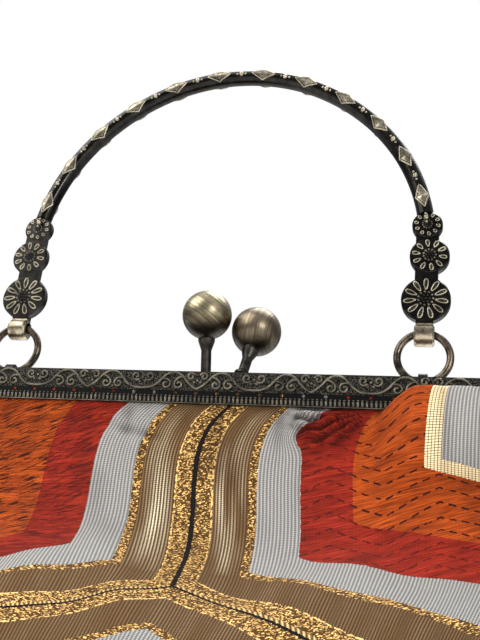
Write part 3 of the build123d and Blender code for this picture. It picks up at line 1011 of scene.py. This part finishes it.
def makeStitches(behind):  # pinches of the cloth that show in the sewing holes, darkened evenly by painted shade
    tag = "rear" if behind else "front"
    side = bag["halfWidth"] - bag["holeInset"]
    pitch, inset = bag["holePitch"], bag["holeInset"]
    count = int((side - bag["cornerRadius"] / 2) / pitch)
    holes = [(step * pitch, bag["topZ"] - inset) for step in range(-count, count + 1)]
    for step in range(stitchForm["downArm"]):
        z = bag["topZ"] - bag["cornerRadius"] - step * pitch
        holes += [(-side, z), (side, z)]
    level = (bag["faceY"] - stitchForm["sink"]) * (1 if behind else -1)
    places = [Matrix.Translation(Vector((x, level, z)) * mm) for x, z in holes]
    bpy.ops.mesh.primitive_uv_sphere_add(segments=12, ring_count=8, radius=stitchForm["radius"] * mm)
    piece = stampCopies(f"{tag}Stitches", bpy.context.view_layer.objects.active, places, brocade)
    layer = piece.data.uv_layers.new(name="clothUv")
    for loop in piece.data.loops:
        place = piece.data.vertices[loop.vertex_index].co / mm
        u, v = (plainPattern if behind else drapedPattern)(place.x, 0.0)
        layer.data[loop.index].uv = (float(u), float(v))
    # painted shade: every stitch takes the same crease shade, for the shade in the holes
    dark = piece.data.attributes.new("creaseShade", "FLOAT", "POINT")
    dark.data.foreach_set("value", [stitchForm["shade"]] * len(piece.data.vertices))
    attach(piece, "bag" if behind else "front_half")


makeRelief(False)
makeRelief(True)
makeStitches(False)
makeStitches(True)
print("stage: frame relief")


# Handle: lozenges, beads and daisies over the cast form
handleForm = {
    "apexZ": 101.3,
    "arcs": ((55.2, 27.9), (61.3, 57.8), (60.1, 84.5)),
    "rodRadius": 2.35,
    "planeY": 2.75,
    "lozengeRadius": 2.57,
    "lozenge": (3.7, 1.8),
    "plateShare": 0.8,
    "plateLift": 0.14,
    "plateDepth": 0.44,
    "rimWire": 0.24,
    "beads": ((0, 1.0), (1.3, 0.5), (-1.3, 0.5)),  # place along the rod and size
    "beadRadius": 0.75,
    "beadSink": 0.1,
    "count": 6,
    "spread": 6.15,
}
rosettes = (
    {"x": 58.2, "z": 24.8, "radius": 6.6, "half": 1.5, "petals": 11, "length": 3.2, "width": 1.45},
    {"x": 58.9, "z": 38.0, "radius": 5.4, "half": 1.4, "petals": 10, "length": 2.0, "width": 1.2},
    {"x": 58.1, "z": 47.6, "radius": 4.2, "half": 1.4, "petals": 10, "length": 0.95, "width": 0.95},
)


def archLine(steps=40):  # right half of the arch from the apex down: points and directions in mm
    x, z, turned = 0.0, bag["topZ"] + handleForm["apexZ"], 0.0
    rows = []
    for radius, angle in handleForm["arcs"]:
        a0, a1 = math.radians(turned), math.radians(angle)
        cx, cz = x - radius * math.sin(a0), z - radius * math.cos(a0)
        for a in np.linspace(a0, a1, steps + 1)[(1 if rows else 0):]:
            rows.append((cx + radius * math.sin(a), cz + radius * math.cos(a), a))
        x, z, turned = rows[-1][0], rows[-1][1], angle
    return np.array(rows)


archRows = archLine()
archRun = np.r_[0, np.cumsum(np.hypot(np.diff(archRows[:, 0]), np.diff(archRows[:, 1])))]


def archAt(share):
    run = share * archRun[-1]
    return tuple(np.interp(run, archRun, archRows[:, column]) for column in range(3))


# Point over the rod: along and across in mm from a place on the arch, lift out from its front
def rodPoint(share, side, along, across, lift, behind):
    x, z, a = archAt(share)
    tangent = Vector((math.cos(a), 0, -math.sin(a)))
    normal = Vector((math.sin(a), 0, math.cos(a)))
    centre = Vector((x, handleForm["planeY"], z)) + tangent * along + normal * across
    centre.y += lift if behind else -lift
    return Vector((side * centre.x, centre.y, centre.z)) * mm


def lozengeLift(across):
    return math.sqrt(handleForm["lozengeRadius"] ** 2 - across ** 2)


def lozengePlate():  # curved plate inside a lozenge's rim, lying along X with its raised face up
    long, wide = (reach * handleForm["plateShare"] for reach in handleForm["lozenge"])
    bpy.ops.object.select_all(action="DESELECT")
    bpy.ops.mesh.primitive_circle_add(vertices=4, radius=mm, fill_type="TRIFAN")
    plate = bpy.context.view_layer.objects.active
    bpy.ops.object.mode_set(mode="EDIT")
    bpy.ops.transform.resize(value=(long, wide, 1), center_override=(0, 0, 0))
    bpy.ops.mesh.select_all(action="DESELECT")
    bpy.ops.mesh.select_non_manifold()
    bpy.ops.mesh.subdivide(number_cuts=5)
    bpy.ops.object.mode_set(mode="OBJECT")
    for vertex in plate.data.vertices:
        vertex.co.z = (lozengeLift(vertex.co.y / mm) + handleForm["plateLift"]) * mm
    bpy.ops.object.mode_set(mode="EDIT")
    bpy.ops.mesh.select_all(action="SELECT")
    sink = {"value": (0, 0, -handleForm["plateDepth"] * mm)}
    bpy.ops.mesh.extrude_region_move(TRANSFORM_OT_translate=sink)
    bpy.ops.mesh.select_all(action="SELECT")
    bpy.ops.mesh.normals_make_consistent(inside=False)
    bpy.ops.object.mode_set(mode="OBJECT")
    return plate


def rodPlace(share, side, behind):  # matrix that sets a form on the rod's axis, X along it and +Z outwards
    x, z, a = archAt(share)
    across = Vector((side * math.sin(a), 0, math.cos(a)))
    outward = Vector((0, 1 if behind else -1, 0))
    turn = Matrix((across.cross(outward), across, outward)).transposed().to_4x4()
    return Matrix.Translation(Vector((side * x, handleForm["planeY"], z)) * mm) @ turn


def makeLozenges():
    rims, places = [], []
    long, wide = handleForm["lozenge"]
    corners = ((long, 0), (0, wide), (-long, 0), (0, -wide), (long, 0))
    outline = [(a0 + (a1 - a0) * t, c0 + (c1 - c0) * t)
               for (a0, c0), (a1, c1) in zip(corners, corners[1:]) for t in np.linspace(0, 1, 7)[:-1]]
    for behind in (False, True):
        for side in (-1, 1):
            for step in range(handleForm["count"]):
                share = (step + 0.5) / handleForm["spread"]
                rims.append([rodPoint(share, side, a, c, lozengeLift(c), behind) for a, c in outline])
                places.append(rodPlace(share, side, behind))
    wire = tubes("handleLozengeRims", rims, handleForm["rimWire"] * mm, paleBronze, closed=True)
    finishMetal(wire, "handle")
    finishMetal(stampCopies("handleLozenges", lozengePlate(), places, plateBronze, smooth=False), "handle")


def makeBeads():
    places = []
    for behind in (False, True):
        for side in (-1, 1):
            for step in range(handleForm["count"] + 1):
                if step == 0 and side < 0:
                    continue
                for along, size in handleForm["beads"]:
                    lift = handleForm["rodRadius"] - handleForm["beadSink"]
                    point = rodPoint(step / handleForm["spread"], side, along, 0, lift, behind)
                    places.append(Matrix.Translation(point) @ sized(size, size, size))
    bpy.ops.mesh.primitive_uv_sphere_add(segments=12, ring_count=8, radius=handleForm["beadRadius"] * mm)
    bead = bpy.context.view_layer.objects.active
    finishMetal(stampCopies("handleBeads", bead, places, paleBronze), "handle")


daisyForm = {
    "petalGap": 0.75,      # from the petals' tips to the rosette's edge
    "rimWire": 0.19,
    "raised": 0.05,
    "petalDome": (0.46, 0.28, 0.42),  # share of the length, height, share of the width
    "dots": 11,
    "dotRing": 0.3,        # share of the rosette's radius
    "dotSize": (0.36, 0.3),  # on the large rosettes and on the small one
    "eyes": ((0.0, 1), (0.16, 6)),  # share of the radius, and how many stand there
    "eyeSize": 0.36,
}


def petalOutline(length, width, steps=18):  # teardrop that is narrow towards the daisy's eye
    points = []
    for step in range(steps):
        angle = 2 * math.pi * step / steps
        reach = math.cos(angle)
        points.append((length / 2 * reach, width / 2 * math.sin(angle) * (0.72 + 0.28 * reach)))
    return points


def makeDaisies():
    rims, dots, eyes, domes = [], [], [], []
    for behind in (False, True):
        for side in (-1, 1):
            for flower in rosettes:
                centre = Vector((side * flower["x"], handleForm["planeY"], bag["topZ"] + flower["z"]))
                centre.y += flower["half"] if behind else -flower["half"]
                out = daisyForm["raised"] if behind else -daisyForm["raised"]
                middle = flower["radius"] - daisyForm["petalGap"] - flower["length"] / 2
                domeLength, domeHeight, domeWidth = daisyForm["petalDome"]
                for petal in range(flower["petals"]):
                    angle = 2 * math.pi * (petal + 0.25) / flower["petals"]
                    turn = Matrix.Rotation(angle, 3, "Y")
                    rims.append([(centre + turn @ Vector((middle + a, out, c))) * mm
                                 for a, c in petalOutline(flower["length"], flower["width"])])
                    spot = centre + turn @ Vector((middle, 0, 0))
                    dome = sized(flower["length"] * domeLength, domeHeight, flower["width"] * domeWidth)
                    domes.append(Matrix.Translation(spot * mm) @ turn.to_4x4() @ dome)
                for dot in range(daisyForm["dots"]):
                    angle = 2 * math.pi * dot / daisyForm["dots"]
                    reach = flower["radius"] * daisyForm["dotRing"]
                    place = centre + Vector((reach * math.cos(angle), out, reach * math.sin(angle)))
                    size = daisyForm["dotSize"][0 if flower["radius"] > 5 else 1]
                    dots.append(Matrix.Translation(place * mm) @ sized(size, size, size))
                for ring, count in daisyForm["eyes"]:
                    ring *= flower["radius"]
                    for dot in range(count):
                        angle = 2 * math.pi * dot / count
                        place = centre + Vector((ring * math.cos(angle), out, ring * math.sin(angle)))
                        eyes.append(Matrix.Translation(place * mm) @ sized(*[daisyForm["eyeSize"]] * 3))
    finishMetal(tubes("daisyPetalRims", rims, daisyForm["rimWire"] * mm, paleBronze, closed=True), "handle")
    for name, places, look in (("daisyDots", dots, rubbedBronze), ("daisyEyes", eyes, petalBronze),
                               ("daisyPetals", domes, petalBronze)):
        bpy.ops.mesh.primitive_uv_sphere_add(segments=10, ring_count=6, radius=1.0 * mm)
        finishMetal(stampCopies(name, bpy.context.view_layer.objects.active, places, look), "handle")


makeLozenges()
makeBeads()
makeDaisies()
print("stage: handle relief")


# Stage: pale floor, soft lights, and the camera at the photograph's angle
stageLook = {"floorSize": 40.0, "floorColour": (0.86, 0.85, 0.83), "floorGlow": 0.5}
photoView = {
    "azimuth": 14.2, "elevation": -23.1, "roll": 6.3, "distance": 0.267,
    "target": (0.0076, 0.00275, 0.2086), "focalPixels": 961.0, "imageHeight": 640.0,
}


def makeFloor():
    bpy.ops.mesh.primitive_plane_add(size=stageLook["floorSize"], location=(0, 0, -0.0005))
    floor = settle(bpy.context.view_layer.objects.active)
    floor.name = "floor"
    g = Graph("paleFloor")
    g.finish(Base_Color=asColour(stageLook["floorColour"]), Roughness=0.7)
    g.finish(Emission_Color=asColour(1.0), Emission_Strength=stageLook["floorGlow"])
    floor.data.materials.append(g.material)


lamps = {  # place, what it looks at, size, power and colour
    "keyLight": ((-0.85, -0.6, 1.15), (0, 0, 0.15), 1.15, 21.5, (1.0, 0.98, 0.95)),
    "fillLight": ((1.0, -0.8, 0.35), (0, 0, 0.15), 1.2, 4.0, (1, 1, 1)),
    "topLight": ((0.1, 0.25, 1.0), (0, 0, 0.15), 0.6, 8.0, (1, 1, 1)),
    "glintLight": ((0.43, -0.6, 0.34), (0, 0, 0.2), 0.14, 2.2, (1, 1, 1)),
}


def makeLight(name, place, target, size, power, colour):
    light = bpy.data.lights.new(name, "AREA")
    light.size = size
    light.energy = power
    light.color = colour
    lamp = bpy.data.objects.new(name, light)
    bpy.context.scene.collection.objects.link(lamp)
    lamp.location = place
    lamp.rotation_euler = (Vector(target) - Vector(place)).to_track_quat("-Z", "Y").to_euler()


def makeWorld():
    world = bpy.data.worlds.new("studio")
    bpy.context.scene.world = world
    world.use_nodes = True
    nodes, links = world.node_tree.nodes, world.node_tree.links
    soft = nodes["Background"]
    place = nodes.new("ShaderNodeTexCoord")
    split = nodes.new("ShaderNodeSeparateXYZ")
    shade = nodes.new("ShaderNodeValToRGB")
    links.new(place.outputs["Generated"], split.inputs[0])
    links.new(split.outputs["Z"], shade.inputs["Fac"])
    shade.color_ramp.elements[0].position = 0.0
    shade.color_ramp.elements[0].color = (0.10, 0.10, 0.10, 1)
    shade.color_ramp.elements[1].position = 0.9
    shade.color_ramp.elements[1].color = (0.78, 0.81, 0.86, 1)
    links.new(shade.outputs["Color"], soft.inputs["Color"])
    soft.inputs["Strength"].default_value = 0.9
    seen = nodes.new("ShaderNodeBackground")
    seen.inputs["Color"].default_value = (1, 1, 1, 1)
    seen.inputs["Strength"].default_value = 1.0
    path = nodes.new("ShaderNodeLightPath")
    choose = nodes.new("ShaderNodeMixShader")
    links.new(path.outputs["Is Camera Ray"], choose.inputs[0])
    links.new(soft.outputs[0], choose.inputs[1])
    links.new(seen.outputs[0], choose.inputs[2])
    links.new(choose.outputs[0], nodes["World Output"].inputs["Surface"])
    bpy.context.scene.view_settings.view_transform = "Standard"


def makeCamera():
    view = photoView
    azimuth, elevation = math.radians(view["azimuth"]), math.radians(view["elevation"])
    level = math.cos(elevation)
    back = Vector((math.sin(azimuth) * level, -math.cos(azimuth) * level, math.sin(elevation)))
    right = (-back).cross(Vector((0, 0, 1))).normalized()
    up = right.cross(-back)
    roll = math.radians(view["roll"])
    tiltedRight = math.cos(roll) * right + math.sin(roll) * up
    tiltedUp = -math.sin(roll) * right + math.cos(roll) * up
    data = bpy.data.cameras.new("photoCamera")
    camera = bpy.data.objects.new("photoCamera", data)
    bpy.context.scene.collection.objects.link(camera)
    turn = Matrix((tiltedRight, tiltedUp, back)).transposed().to_4x4()
    camera.matrix_world = Matrix.Translation(Vector(view["target"]) + back * view["distance"]) @ turn
    data.sensor_width = 36.0
    data.lens = view["focalPixels"] / view["imageHeight"] * data.sensor_width
    data.clip_start = 0.01
    bpy.context.scene.camera = camera


makeFloor()
makeWorld()
for lampName, values in lamps.items():
    makeLight(lampName, *values)
makeCamera()
print("stage: camera and lights")
